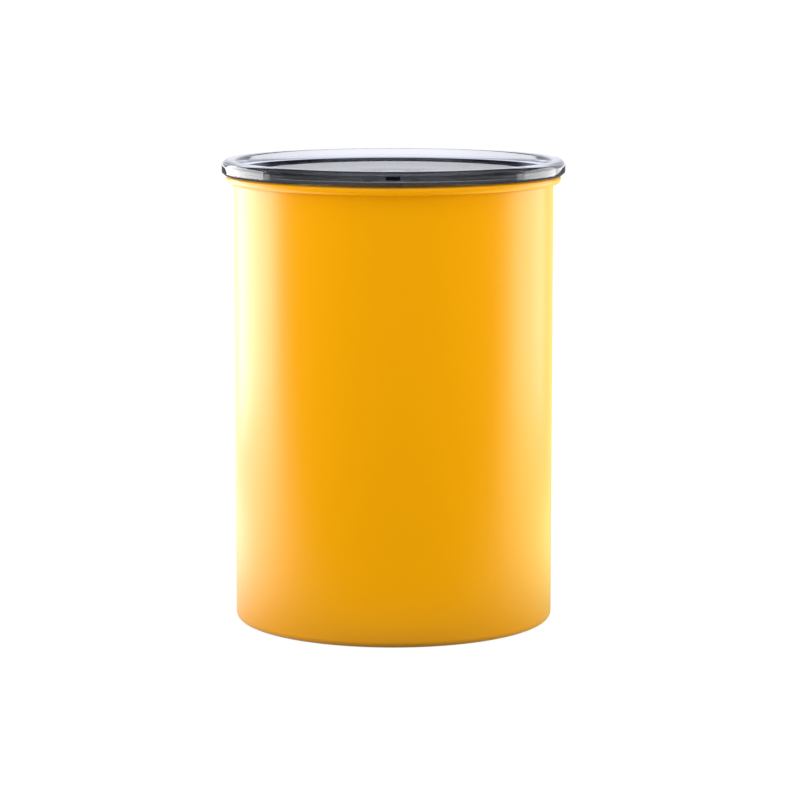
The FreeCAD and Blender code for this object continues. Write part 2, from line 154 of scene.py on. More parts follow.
def blank_material(name):
    """A material with an empty node tree."""
    material = bpy.data.materials.new(name)
    material.use_nodes = True
    material.node_tree.nodes.clear()
    return material, material.node_tree


# Satin powder coat: a baked thermoset skin, even in colour, with a faint orange peel about 1 mm
# across. It spreads highlights softly and keeps a pale sheen at grazing angles.
powder_coat, tree = blank_material("satin_powder_coat_yellow")
place = add(tree, "ShaderNodeTexCoord").outputs["Object"]
peel = add(tree, "ShaderNodeTexNoise", {"Vector": place, "Scale": 1 / (1.1 * mm), "Detail": 2.0})
cloud = add(tree, "ShaderNodeTexNoise", {"Vector": place, "Scale": 1 / (30 * mm), "Detail": 2.0})
gloss = add(tree, "ShaderNodeMapRange", {"Value": cloud.outputs["Fac"], "To Min": 0.28, "To Max": 0.31})
bump = add(tree, "ShaderNodeBump", {"Height": peel.outputs["Fac"], "Strength": 0.06, "Distance": 0.03 * mm})
skin = add(tree, "ShaderNodeBsdfPrincipled", {
    "Base Color": hexed("#ECA100"), "Roughness": gloss.outputs["Result"], "IOR": 1.5,
    "Specular IOR Level": 0.5, "Normal": bump.outputs["Normal"]})
add(tree, "ShaderNodeOutputMaterial", {"Surface": skin.outputs["BSDF"]})

# Drawn stainless steel: fine rings run round the wall, so the gloss streaks up and down. The rings
# are really about 0.1 mm apart and are drawn at 0.6 mm so that they show, in streaks 125 mm long.
drawn_steel, tree = blank_material("drawn_stainless_steel")
place = add(tree, "ShaderNodeTexCoord").outputs["Object"]
streak = 1 / (125 * mm)
rings = add(tree, "ShaderNodeMapping", {"Vector": place, "Scale": (streak, streak, 1 / (0.6 * mm))})
grain = add(tree, "ShaderNodeTexNoise", {"Vector": rings.outputs["Vector"], "Scale": 1.0, "Detail": 3.0})
gloss = add(tree, "ShaderNodeMapRange", {"Value": grain.outputs["Fac"], "To Min": 0.42, "To Max": 0.56})
bump = add(tree, "ShaderNodeBump", {"Height": grain.outputs["Fac"], "Strength": 0.15, "Distance": 0.02 * mm})
skin = add(tree, "ShaderNodeBsdfPrincipled", {
    "Base Color": hexed("#C9C7C3"), "Metallic": 1.0, "Roughness": gloss.outputs["Result"],
    "Normal": bump.outputs["Normal"]})
add(tree, "ShaderNodeOutputMaterial", {"Surface": skin.outputs["BSDF"]})

outer_face = rounded(
    (0, base_rise), (middle_r, base_rise, base_bend_r), (ring_in, 0, base_bend_r + sheet),
    (can_r, 0, base_corner_r), (can_r, curl_z))
roll_inside = rolled(curl_r - sheet, math.pi, curl_end)[1:]
roll_painted = rolled(curl_r, curl_end, paint_edge)
roll_bare = rolled(curl_r, paint_edge, math.pi)[1:]
inner_face = rounded(
    (can_in, curl_z), (can_in, sheet, base_corner_r - sheet), (ring_in + ramp_shift, sheet, base_bend_r),
    (middle_r + ramp_shift, base_rise + sheet, base_bend_r + sheet), (0, base_rise + sheet))[1:]
painted = len(outer_face) + len(roll_inside) + len(roll_painted) - 1
outline = outer_face + roll_inside + roll_painted + roll_bare + inner_face
can = turned("canister_shell", outline, (powder_coat, drawn_steel),
             [0 if i < painted else 1 for i in range(len(outline))])
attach(can, "canister")
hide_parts("canister_body")

# Plunger dish: black polypropylene moulding that slides in the can. Its floor is stiffened by radial
# ribs and carries four screw bosses; the hole in the middle is guarded by three bars.
plunger_z = 104.2
wiper_room = 3.2
dish_wall = 2.0
slide_gap = 0.9
dish_r = can_in - wiper_room
dish_in = dish_r - dish_wall
dish_flange_r = can_in - slide_gap
dish_floor = 2.4
dish_height = 24.0
dish_corner_r = 3.0
flange_t = 1.6
groove_h = 6.0
seat_r = 8.0
seat_out = 10.5
seat_top = 4.2
moulded_edge = 0.35
soft_edge = 0.5


def raised(*outline):
    """Corners of a plunger piece, given from the plunger's underside, at their place in the can."""
    return [(corner[0], corner[1] + plunger_z, *corner[2:]) for corner in outline]


# Matt black polypropylene: the mould is spark eroded, which leaves a fine even grain about 0.3 mm
# across, drawn here at 0.5 mm. Light from the side shows as a dull grey sheen.
black_plastic, tree = blank_material("spark_textured_polypropylene_black")
place = add(tree, "ShaderNodeTexCoord").outputs["Object"]
grain = add(tree, "ShaderNodeTexNoise", {"Vector": place, "Scale": 1 / (0.5 * mm), "Detail": 3.0})
gloss = add(tree, "ShaderNodeMapRange", {"Value": grain.outputs["Fac"], "To Min": 0.42, "To Max": 0.6})
bump = add(tree, "ShaderNodeBump", {"Height": grain.outputs["Fac"], "Strength": 0.25, "Distance": 0.04 * mm})
skin = add(tree, "ShaderNodeBsdfPrincipled", {
    "Base Color": hexed("#1B1B1D"), "Roughness": gloss.outputs["Result"], "IOR": 1.49,
    "Normal": bump.outputs["Normal"]})
add(tree, "ShaderNodeOutputMaterial", {"Surface": skin.outputs["BSDF"]})

groove_top = flange_t + groove_h
collar_top = groove_top + flange_t
rim_under = dish_height - flange_t
dish = turned("plunger_dish_shell", rounded(*raised(
    (seat_r, 0, moulded_edge), (dish_flange_r, 0, soft_edge), (dish_flange_r, flange_t), (dish_r, flange_t),
    (dish_r, groove_top), (dish_flange_r, groove_top), (dish_flange_r, collar_top, soft_edge),
    (dish_r, collar_top), (dish_r, rim_under, moulded_edge), (dish_flange_r, rim_under, soft_edge),
    (dish_flange_r, dish_height, soft_edge), (dish_in, dish_height, soft_edge),
    (dish_in, dish_floor, dish_corner_r), (seat_out, dish_floor, moulded_edge),
    (seat_out, seat_top, soft_edge), (seat_r, seat_top, moulded_edge))), (black_plastic,))
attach(dish, "plunger")
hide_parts("plunger_dish")

# One tree makes every ring of like pieces: it copies the mesh that it is given round the axis.
ring_of_copies = bpy.data.node_groups.new("ring_of_copies", "GeometryNodeTree")
face = ring_of_copies.interface
face.new_socket("Geometry", in_out="INPUT", socket_type="NodeSocketGeometry")
copies_in = face.new_socket("Copies", in_out="INPUT", socket_type="NodeSocketInt").identifier
start_in = face.new_socket("Start angle", in_out="INPUT", socket_type="NodeSocketFloat").identifier
finish_in = face.new_socket("Finish", in_out="INPUT", socket_type="NodeSocketMaterial").identifier
face.new_socket("Geometry", in_out="OUTPUT", socket_type="NodeSocketGeometry")
given = add(ring_of_copies, "NodeGroupInput").outputs
points = add(ring_of_copies, "GeometryNodePoints", {"Count": given["Copies"]})
step = add(ring_of_copies, "ShaderNodeMath", {0: 2 * math.pi, 1: given["Copies"]}, operation="DIVIDE")
index = add(ring_of_copies, "GeometryNodeInputIndex")
angle = add(ring_of_copies, "ShaderNodeMath", {
    0: index.outputs["Index"], 1: step.outputs[0], 2: given["Start angle"]}, operation="MULTIPLY_ADD")
spin = add(ring_of_copies, "ShaderNodeCombineXYZ", {"Z": angle.outputs[0]})
placed = add(ring_of_copies, "GeometryNodeInstanceOnPoints", {
    "Points": points.outputs[0], "Instance": given["Geometry"], "Rotation": spin.outputs[0]})
solid = add(ring_of_copies, "GeometryNodeRealizeInstances", {"Geometry": placed.outputs[0]})
painted_copies = add(ring_of_copies, "GeometryNodeSetMaterial", {
    "Geometry": solid.outputs[0], "Material": given["Finish"]})
add(ring_of_copies, "NodeGroupOutput", {"Geometry": painted_copies.outputs[0]})


def settled(piece):
    """Turns what a piece's modifiers make into its plain mesh."""
    result = bpy.data.meshes.new_from_object(piece.evaluated_get(bpy.context.evaluated_depsgraph_get()))
    piece.modifiers.clear()
    piece.data = result
    return piece


def ringed(piece, copies, start, material):
    """Copies a piece round the canister's axis."""
    copier = piece.modifiers.new("copies", "NODES")
    copier.node_group = ring_of_copies
    copier[copies_in] = copies
    copier[start_in] = start
    copier[finish_in] = material
    return shaded(settled(piece))


def slab(name, outline, thickness, material, edge=0.25):
    """A plate cut to an outline in the XZ plane, centred on that plane, with softened edges."""
    build = bmesh.new()
    half = thickness * mm / 2
    front = build.faces.new([build.verts.new((x * mm, -half, z * mm)) for x, z in outline])
    grown = bmesh.ops.extrude_face_region(build, geom=[front])["geom"]
    moved = [v for v in grown if isinstance(v, bmesh.types.BMVert)]
    bmesh.ops.translate(build, vec=(0, 2 * half, 0), verts=moved)
    bmesh.ops.recalc_face_normals(build, faces=build.faces)
    mesh = bpy.data.meshes.new(name)
    build.to_mesh(mesh)
    build.free()
    piece = as_piece(name, mesh, material)
    softener = piece.modifiers.new("edge", "BEVEL")
    softener.width = edge * mm
    softener.segments = 3
    softener.limit_method = "ANGLE"
    return settled(piece)


rib_count = 8
rib_start = 27.2
rib_h = 5.0
rib_t = 1.8
root_depth = 0.5
rib_end = dish_in + dish_wall / 2
rib_foot = dish_floor - root_depth
rib_top = dish_floor + rib_h
rib = slab("plunger_ribs", raised(
    (rib_start, rib_foot), (rib_end, rib_foot), (rib_end, rib_top), (rib_start + rib_h, rib_top)),
    rib_t, black_plastic)
ringed(rib, rib_count, math.pi / rib_count, black_plastic)
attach(rib, "plunger")

boss_count = 4
boss_start = math.pi / boss_count
boss_circle = 21.0
boss_r = 3.2
boss_h = 4.0
boss_edge = 0.2
boss_foot = dish_floor - root_depth
boss_top = dish_floor + boss_h
turn_segments = 48
boss = turned("plunger_bosses", rounded(*raised(
    (0, boss_foot), (boss_r, boss_foot), (boss_r, boss_top, boss_edge), (0, boss_top))), (black_plastic,))
boss.data.transform(Matrix.Translation((boss_circle * mm, 0, 0)))
ringed(boss, boss_count, boss_start, black_plastic)
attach(boss, "plunger")

guard_count = 3
guard_h = 1.2
guard_t = 1.6
guard_root = 1.0
guard_end = seat_r + guard_root
guard_bar = slab("valve_guard_bars", raised(
    (0, 0), (guard_end, 0), (guard_end, guard_h), (0, guard_h)), guard_t, black_plastic)
ringed(guard_bar, guard_count, math.pi / 2, black_plastic)
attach(guard_bar, "plunger")

# Wiper seal: a ring of milky food-grade silicone sprung into the dish's groove. Its two thin lips
# lean up against the can's wall and keep the air out.
seal_t = 1.5
seal_gap = 0.25
seal_face = dish_r + seal_t
lip_tip = can_in - seal_gap
lip_foot_shares = (0.12, 0.54)
lip_lean = 1.2
lip_tip_h = 0.6
lip_root_h = 1.32
lip_root_round = 0.15
lip_tip_round = 0.2
turn_segments = 240

# Silicone rubber: soft, slightly translucent, with a dry bloom that kills the gloss.
milky_silicone, tree = blank_material("moulded_silicone_milky")
place = add(tree, "ShaderNodeTexCoord").outputs["Object"]
bloom = add(tree, "ShaderNodeTexNoise", {"Vector": place, "Scale": 1 / (4 * mm), "Detail": 4.0})
gloss = add(tree, "ShaderNodeMapRange", {"Value": bloom.outputs["Fac"], "To Min": 0.45, "To Max": 0.65})
skin = add(tree, "ShaderNodeBsdfPrincipled", {
    "Base Color": hexed("#D9D8D2"), "Roughness": gloss.outputs["Result"], "IOR": 1.41,
    "Subsurface Weight": 0.25, "Subsurface Radius": (2.0 * mm, 2.0 * mm, 1.8 * mm), "Subsurface Scale": 1.0})
add(tree, "ShaderNodeOutputMaterial", {"Surface": skin.outputs["BSDF"]})

lip_corners = [(dish_r, flange_t), (seal_face, flange_t)]
for foot_share in lip_foot_shares:
    foot = flange_t + foot_share * groove_h
    tip = foot + lip_lean
    lip_corners += [(seal_face, foot, lip_root_round), (lip_tip, tip, lip_tip_round),
                    (lip_tip, tip + lip_tip_h, lip_tip_round), (seal_face, foot + lip_root_h, lip_root_round)]
lip_corners += [(seal_face, groove_top), (dish_r, groove_top)]
seal = turned("plunger_wiper_seal", rounded(*raised(*lip_corners)), (milky_silicone,))
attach(seal, "plunger")
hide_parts("plunger_seal")

# Valve parts that keep their CAD shape: the housing screwed over the air hole, and the stem, disc and
# retainer washer that move in it. Housing and stem are moulded, and the retainer is turned steel.

# Turned stainless steel: the lathe's marks run round each small part and are about 0.25 mm apart, which
# gives a bright, slightly uneven gloss.
turned_steel, tree = blank_material("turned_stainless_steel")
place = add(tree, "ShaderNodeTexCoord").outputs["Object"]
marks_per_metre = 30
lathe_marks = add(tree, "ShaderNodeMapping", {
    "Vector": place, "Scale": (marks_per_metre, marks_per_metre, 1 / (0.25 * mm))})
grain = add(tree, "ShaderNodeTexNoise", {
    "Vector": lathe_marks.outputs["Vector"], "Scale": 1.0, "Detail": 2.0})
gloss = add(tree, "ShaderNodeMapRange", {"Value": grain.outputs["Fac"], "To Min": 0.2, "To Max": 0.34})
skin = add(tree, "ShaderNodeBsdfPrincipled", {
    "Base Color": hexed("#CCCAC6"), "Metallic": 1.0, "Roughness": gloss.outputs["Result"]})
add(tree, "ShaderNodeOutputMaterial", {"Surface": skin.outputs["BSDF"]})

for node_name, material in (("valve_housing", black_plastic), ("valve_stem", black_plastic),
                            ("valve_disc", milky_silicone), ("disc_retainer", turned_steel)):
    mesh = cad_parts[node_name].data
    mesh.materials.clear()
    mesh.materials.append(material)

# Housing screws: four slotted pan-head screws of turned stainless steel. They go through the housing's
# lugs into the dish's bosses and hold the housing down.
turn_segments = 48
lug_t = 2.0
head_h = 1.9
head_r = 2.8
head_edge = 0.1
head_round = 0.8
shank_r = 1.45
shank_length = 6.6
slot_w = 0.8
slot_depth = 0.8
slot_reach = 4.0
slot_over = 1.0
slot_edge = 0.02
screw_seat = boss_top + lug_t
screw_top = screw_seat + head_h
screw_tip = screw_seat - shank_length
slot_floor = screw_top - slot_depth
slot_roof = screw_top + slot_over
screw = turned("housing_screw_set", rounded(*raised(
    (0, screw_tip), (shank_r, screw_tip), (shank_r, screw_seat), (head_r, screw_seat, head_edge),
    (head_r, screw_top, head_round), (0, screw_top))), (turned_steel,))
slot_cut = slab("slot_cutter", raised(
    (-slot_reach, slot_floor), (slot_reach, slot_floor), (slot_reach, slot_roof), (-slot_reach, slot_roof)),
    slot_w, turned_steel, slot_edge)
cut = screw.modifiers.new("slot", "BOOLEAN")
cut.object = slot_cut
cut.solver = "EXACT"
settled(screw)
bpy.data.objects.remove(slot_cut)
screw.data.transform(Matrix.Translation((boss_circle * mm, 0, 0)))
ringed(screw, boss_count, boss_start, turned_steel)
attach(screw, "plunger")
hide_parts("housing_screws")

# Valve spring: stainless wire wound round the stem, held between the stem's flange and the housing's
# roof. It presses the valve shut, and shortens as the stem rises.
spring_tree = bpy.data.node_groups.new("wound_spring", "GeometryNodeTree")
face = spring_tree.interface
spring_inputs = {}
for label in ("Turns", "Radius", "Height", "Wire radius", "Foot"):
    spring_inputs[label] = face.new_socket(label, in_out="INPUT", socket_type="NodeSocketFloat").identifier
spring_inputs["Finish"] = face.new_socket(
    "Finish", in_out="INPUT", socket_type="NodeSocketMaterial").identifier
face.new_socket("Geometry", in_out="OUTPUT", socket_type="NodeSocketGeometry")
points_per_turn = 48
wire_sides = 14
given = add(spring_tree, "NodeGroupInput").outputs
wound = add(spring_tree, "GeometryNodeCurveSpiral", {
    "Resolution": points_per_turn, "Rotations": given["Turns"], "Start Radius": given["Radius"],
    "End Radius": given["Radius"], "Height": given["Height"], "Reverse": False})
section = add(spring_tree, "GeometryNodeCurvePrimitiveCircle", {
    "Resolution": wire_sides, "Radius": given["Wire radius"]})
wire = add(spring_tree, "GeometryNodeCurveToMesh", {
    "Curve": wound.outputs[0], "Profile Curve": section.outputs[0], "Fill Caps": True})
lift = add(spring_tree, "ShaderNodeCombineXYZ", {"Z": given["Foot"]})
stood = add(spring_tree, "GeometryNodeTransform", {
    "Geometry": wire.outputs[0], "Translation": lift.outputs[0]})
whole = add(spring_tree, "GeometryNodeRealizeInstances", {"Geometry": stood.outputs[0]})
steeled = add(spring_tree, "GeometryNodeSetMaterial", {
    "Geometry": whole.outputs[0], "Material": given["Finish"]})
add(spring_tree, "NodeGroupOutput", {"Geometry": steeled.outputs[0]})

wire_r = 0.4
spring_r = 4.9
spring_turns = 3.5
end_gap = 0.15
stem_flange_top = 7.6
housing_roof = 14.6
spring_low = stem_flange_top + end_gap + wire_r
spring_high = housing_roof - end_gap - wire_r
spring = as_piece("valve_coil_spring", bpy.data.meshes.new("valve_coil_spring"))
winder = spring.modifiers.new("wound", "NODES")
winder.node_group = spring_tree
for label, value in (("Turns", spring_turns), ("Radius", spring_r * mm), ("Wire radius", wire_r * mm),
                     ("Height", (spring_high - spring_low) * mm), ("Foot", (plunger_z + spring_low) * mm),
                     ("Finish", turned_steel)):
    winder[spring_inputs[label]] = value
shaded(settled(spring), degrees=60)
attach(spring, "plunger")
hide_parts("valve_spring")
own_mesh(spring)

# Swing handle: a half ring of dark grey nylon on two legs. Each leg ends in a hub with a stub shaft
# that snaps into the housing's ear, and a cam that lifts the button as the handle comes up.
axis_height = 21.6
axis_z = plunger_z + axis_height
handle_w = 6.4
handle_t = 5.0
handle_round = 2.0
handle_ring = 37.8
handle_bend_r = 7.0
cam_in = 12.6
cam_w = 2.6

# Satin nylon: a smoother mould than the dish's, so the grain is finer and the sheen a little brighter.
handle_plastic, tree = blank_material("moulded_nylon_dark_grey")
place = add(tree, "ShaderNodeTexCoord").outputs["Object"]
grain = add(tree, "ShaderNodeTexNoise", {"Vector": place, "Scale": 1 / (0.4 * mm), "Detail": 2.0})
gloss = add(tree, "ShaderNodeMapRange", {"Value": grain.outputs["Fac"], "To Min": 0.3, "To Max": 0.42})
bump = add(tree, "ShaderNodeBump", {"Height": grain.outputs["Fac"], "Strength": 0.15, "Distance": 0.03 * mm})
skin = add(tree, "ShaderNodeBsdfPrincipled", {
    "Base Color": hexed("#343538"), "Roughness": gloss.outputs["Result"], "IOR": 1.53,
    "Normal": bump.outputs["Normal"]})
add(tree, "ShaderNodeOutputMaterial", {"Surface": skin.outputs["BSDF"]})

swept_bar = bpy.data.node_groups.new("swept_bar", "GeometryNodeTree")
face = swept_bar.interface
face.new_socket("Geometry", in_out="INPUT", socket_type="NodeSocketGeometry")
bar_inputs = {}
for label in ("Width", "Thickness", "Rounding"):
    bar_inputs[label] = face.new_socket(label, in_out="INPUT", socket_type="NodeSocketFloat").identifier
bar_inputs["Finish"] = face.new_socket(
    "Finish", in_out="INPUT", socket_type="NodeSocketMaterial").identifier
corner_points = 6
face.new_socket("Geometry", in_out="OUTPUT", socket_type="NodeSocketGeometry")
given = add(swept_bar, "NodeGroupInput").outputs
line = add(swept_bar, "GeometryNodeMeshToCurve", {"Mesh": given["Geometry"]})
level = add(swept_bar, "GeometryNodeSetCurveNormal", {"Curve": line.outputs[0]}, mode="Z_UP")
oblong = add(swept_bar, "GeometryNodeCurvePrimitiveQuadrilateral", {
    "Width": given["Width"], "Height": given["Thickness"]})
soft = add(swept_bar, "GeometryNodeFilletCurve", {
    "Curve": oblong.outputs[0], "Count": corner_points, "Radius": given["Rounding"]}, mode="POLY")
bar = add(swept_bar, "GeometryNodeCurveToMesh", {
    "Curve": level.outputs[0], "Profile Curve": soft.outputs[0], "Fill Caps": True})
whole = add(swept_bar, "GeometryNodeRealizeInstances", {"Geometry": bar.outputs[0]})
dressed = add(swept_bar, "GeometryNodeSetMaterial", {
    "Geometry": whole.outputs[0], "Material": given["Finish"]})
add(swept_bar, "NodeGroupOutput", {"Geometry": dressed.outputs[0]})

bend_x = math.sqrt((handle_ring - handle_bend_r) ** 2 - handle_bend_r ** 2)
meet = math.atan2(handle_bend_r, bend_x)
half_path = [(cam_in, 0), ((cam_in + bend_x) / 2, 0)]
bend_steps, ring_steps = 14, 40
for k in range(bend_steps):
    a = -math.pi / 2 + (meet + math.pi / 2) * k / bend_steps
    half_path.append((bend_x + handle_bend_r * math.cos(a), handle_bend_r + handle_bend_r * math.sin(a)))
for k in range(ring_steps + 1):
    a = meet + (math.pi / 2 - meet) * k / ring_steps
    half_path.append((handle_ring * math.cos(a), handle_ring * math.sin(a)))
path = half_path + [(-x, y) for x, y in half_path[-2::-1]]
mesh = bpy.data.meshes.new("handle_grip")
mesh.from_pydata([(x * mm, y * mm, axis_z * mm) for x, y in path],
                 [(i, i + 1) for i in range(len(path) - 1)], [])
grip = as_piece("handle_grip", mesh)
sweeper = grip.modifiers.new("swept", "NODES")
sweeper.node_group = swept_bar
for label, value in (("Width", handle_w * mm), ("Thickness", handle_t * mm),
                     ("Rounding", handle_round * mm), ("Finish", handle_plastic)):
    sweeper[bar_inputs[label]] = value
shaded(settled(grip), degrees=40)
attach(grip, "handle")
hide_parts("swing_handle")

# The cam's flank is an involute, so the button rises in step with the handle's turn.
valve_rise = 3.0
hub_r = 3.8
hub_edge = 0.5
shaft_r = 1.9
shaft_end = 8.4
shaft_edge = 0.3
cam_edge = 0.2
hub_end = cam_in + 2 * cam_w
cam_pitch = valve_rise / (math.pi / 2)
flank = []
flank_steps = 24
for k in range(flank_steps + 1):
    turn = math.pi / 2 * k / flank_steps
    support = hub_r + cam_pitch * turn
    a = math.pi / 2 - turn
    flank.append((support * math.cos(a) + cam_pitch * math.sin(a),
                  support * math.sin(a) - cam_pitch * math.cos(a)))
cam_foot = math.radians(-60)
hub_steps = 30
hub_arc = [cam_foot - (cam_foot + 1.5 * math.pi) * k / hub_steps for k in range(hub_steps + 1)]
cam_outline = flank + [(hub_r * math.cos(a), hub_r * math.sin(a)) for a in hub_arc]
upright_to_axis = Matrix.Rotation(math.pi / 2, 4, "Z")
for side, name in ((1, "handle_cam_right"), (-1, "handle_cam_left")):
    cam = slab(name, cam_outline, cam_w, handle_plastic, cam_edge)
    middle = side * (cam_in + cam_w / 2) * mm
    cam.data.transform(Matrix.Translation((middle, 0, axis_z * mm)) @ upright_to_axis)
    shaded(cam, degrees=25)
    hub = turned("hub", rounded(
        (0, shaft_end), (shaft_r, shaft_end, shaft_edge), (shaft_r, cam_in), (hub_r, cam_in, shaft_edge),
        (hub_r, hub_end, hub_edge), (0, hub_end)), (handle_plastic,))
    laid_over = Matrix.Rotation(side * math.pi / 2, 4, "Y")
    hub.data.transform(Matrix.Translation((0, 0, axis_z * mm)) @ laid_over)
    joined = bmesh.new()
    joined.from_mesh(cam.data)
    joined.from_mesh(hub.data)
    joined.to_mesh(cam.data)
    joined.free()
    bpy.data.objects.remove(hub)
    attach(cam, "handle")

# Valve button: a round domed cap of the handle's nylon, pressed on the stem's top. The two cams lift
# it by its flat underside.
turn_segments = 160
button_r = cam_in + cam_w
button_under = 25.6
button_t = 3.4
button_edge = 0.25
crown_edge = 0.6
socket_r = 2.5
socket_h = 1.8
button_top = button_under + button_t
socket_top = button_under + socket_h
dome_h = 1.0
dome_r = (button_r ** 2 + dome_h ** 2) / (2 * dome_h)
dome_steps = 12
crown = []
for k in range(dome_steps + 1):
    r = (button_r - crown_edge) * (1 - k / dome_steps)
    crown.append((r, button_top - dome_r + math.sqrt(dome_r ** 2 - r ** 2)))
edge = rounded(*raised((socket_r, button_under), (button_r, button_under, button_edge),
                       (button_r, button_top - dome_h, crown_edge), *crown[:1]))[:-1]
button = turned("valve_button_cap", edge + raised(*crown, (0, socket_top), (socket_r, socket_top)),
                (handle_plastic,))
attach(button, "valve")
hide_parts("valve_button")

# Lid gasket: a moulded charcoal silicone ring, hollowed below so that it saddles the can's rolled rim.
# It is pressed between the sides of the lid's groove, and a film of air stays between it and the roof.
turn_segments = 240
skirt_gap = 0.2
plug_gap = 0.8
groove_rise = 1.5
rim_lap = 0.1
saddle_gap = 0.15
gasket_press = 0.01
gasket_film = 0.03
skirt_in = curl_mid + curl_r + skirt_gap
plug_out = can_in - plug_gap
groove_roof = can_height + groove_rise
gasket_low = can_height - rim_lap
gasket_top = groove_roof - gasket_film
saddle_r = curl_r + saddle_gap

# Charcoal silicone: as the milky one, but near black, so no light passes; the near black is painted shade
# that darkens the lid's front band.
silicone_painted_shade, tree = blank_material("moulded_silicone_painted_shade")
place = add(tree, "ShaderNodeTexCoord").outputs["Object"]
bloom = add(tree, "ShaderNodeTexNoise", {"Vector": place, "Scale": 1 / (3 * mm), "Detail": 4.0})
gloss = add(tree, "ShaderNodeMapRange", {"Value": bloom.outputs["Fac"], "To Min": 0.5, "To Max": 0.7})
# The near-black base colour below is painted shade for the lid's front band.
skin = add(tree, "ShaderNodeBsdfPrincipled", {
    "Base Color": hexed("#1C1D22"), "Roughness": gloss.outputs["Result"], "IOR": 1.41})
add(tree, "ShaderNodeOutputMaterial", {"Surface": skin.outputs["BSDF"]})

saddle_lean = math.acos((gasket_low - curl_z) / saddle_r)
saddle = []
saddle_steps = 24
for k in range(saddle_steps + 1):
    a = saddle_lean * (1 - 2 * k / saddle_steps)
    saddle.append(Vector((curl_mid - saddle_r * math.sin(a), curl_z + saddle_r * math.cos(a))))
gasket_in = plug_out - gasket_press
gasket_out = skirt_in + gasket_press
gasket = turned("lid_gasket_ring", [Vector((gasket_in, gasket_low))] + saddle + [
    Vector((gasket_out, gasket_low)), Vector((gasket_out, gasket_top)), Vector((gasket_in, gasket_top))],
    (silicone_painted_shade,))
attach(gasket, "outer_lid")
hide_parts("outer_lid_gasket")

# Outer lid: a clear injection moulding with a recessed panel inside a thick raised rim. A skirt hides
# the gasket and a plug ring below the panel centres the lid in the can's mouth.
lid_rise = 5.35
skirt_t = 1.3
rim_w = 4.9
rim_slope_w = 2.8
recess_depth = 4.5
panel_t = 1.8
plug_t = 1.9
plug_depth = 4.3
chamfer_w = 1.0
chamfer_h = 0.9
lid_top = can_height + lid_rise
lid_low = can_height - rim_lap
lid_r = skirt_in + skirt_t
rim_in = lid_r - rim_w
panel_r = rim_in - rim_slope_w
panel_top = lid_top - recess_depth
panel_under = panel_top - panel_t
plug_in = plug_out - plug_t
plug_low = panel_under - plug_depth
panel_round = 0.4
rim_in_round = 1.2
rim_out_round = 2.2
chamfer_round = 0.2
skirt_low_round = 0.15
skirt_edge = 0.1
groove_round = 0.2
plug_round = 0.5
plug_root_round = 0.8

# Clear SAN: a hard, glossy, glass-clear plastic with a faint smoky cast where it is thick.
clear_plastic, tree = blank_material("clear_san_plastic")
skin = add(tree, "ShaderNodeBsdfPrincipled", {
    "Base Color": hexed("#F5F7FD"), "Roughness": 0.0, "IOR": 1.57, "Transmission Weight": 1.0})
cast = add(tree, "ShaderNodeVolumeAbsorption", {"Color": hexed("#B9C2CE"), "Density": 12.0})
add(tree, "ShaderNodeOutputMaterial", {"Surface": skin.outputs["BSDF"], "Volume": cast.outputs["Volume"]})

lid = turned("outer_lid_moulding", rounded(
    (0, panel_top), (panel_r, panel_top, panel_round), (rim_in, lid_top, rim_in_round),
    (lid_r, lid_top, rim_out_round), (lid_r, lid_low + chamfer_h, chamfer_round),
    (lid_r - chamfer_w, lid_low, skirt_low_round), (skirt_in, lid_low, skirt_edge),
    (skirt_in, groove_roof, groove_round), (plug_out, groove_roof, groove_round),
    (plug_out, plug_low, plug_round), (plug_in, plug_low, plug_round),
    (plug_in, panel_under, plug_root_round), (0, panel_under)), (clear_plastic,))

# Clear plastic lets light through to what lies under it, so it casts no shadow there.
lid.visible_shadow = False
lid.visible_diffuse = False
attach(lid, "outer_lid")
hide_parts("outer_lid")

# Gate mark: where the lid's runner was cut off, at the front of the rim. The cut face is rough, and its
# near-black colour is painted shade, standing for how dark the cut looks.
gate_w = 5.2
gate_h = 1.5
gate_drop = 2.4
gate_z = lid_top - gate_drop
gate_sink = 0.5
gate_proud = 0.02
gate_turn = gate_w / lid_r
gate_steps = 6

# Cut SAN: torn where the runner broke off, in ridges about 0.4 mm apart that kill its gloss; painted black as
# shade.
cut_face_painted_shade, tree = blank_material("cut_san_painted_shade")
place = add(tree, "ShaderNodeTexCoord").outputs["Object"]
tear = add(tree, "ShaderNodeTexNoise", {"Vector": place, "Scale": 1 / (0.4 * mm), "Detail": 3.0})
gloss = add(tree, "ShaderNodeMapRange", {"Value": tear.outputs["Fac"], "To Min": 0.5, "To Max": 0.8})
# The near-black base colour below is painted shade.
skin = add(tree, "ShaderNodeBsdfPrincipled", {
    "Base Color": hexed("#08080C"), "Roughness": gloss.outputs["Result"], "IOR": 1.57,
    "Specular IOR Level": 0.1})
add(tree, "ShaderNodeOutputMaterial", {"Surface": skin.outputs["BSDF"]})

build = bmesh.new()
columns = []
for k in range(gate_steps + 1):
    a = -math.pi / 2 + gate_turn * (k / gate_steps - 0.5)
    columns.append([build.verts.new((r * mm * math.cos(a), r * mm * math.sin(a), z * mm)) for r, z in (
        (lid_r - gate_sink, gate_z - gate_h / 2), (lid_r + gate_proud, gate_z - gate_h / 2),
        (lid_r + gate_proud, gate_z + gate_h / 2), (lid_r - gate_sink, gate_z + gate_h / 2))])
for left, right in zip(columns, columns[1:]):
    for i in range(len(left)):
        following = (i + 1) % len(left)
        build.faces.new((left[i], right[i], right[following], left[following]))
build.faces.new(columns[0])
build.faces.new(columns[-1])
bmesh.ops.recalc_face_normals(build, faces=build.faces)
mesh = bpy.data.meshes.new("lid_gate_painted_shade")
build.to_mesh(mesh)
build.free()
gate = as_piece("lid_gate_painted_shade", mesh, cut_face_painted_shade)
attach(gate, "outer_lid")

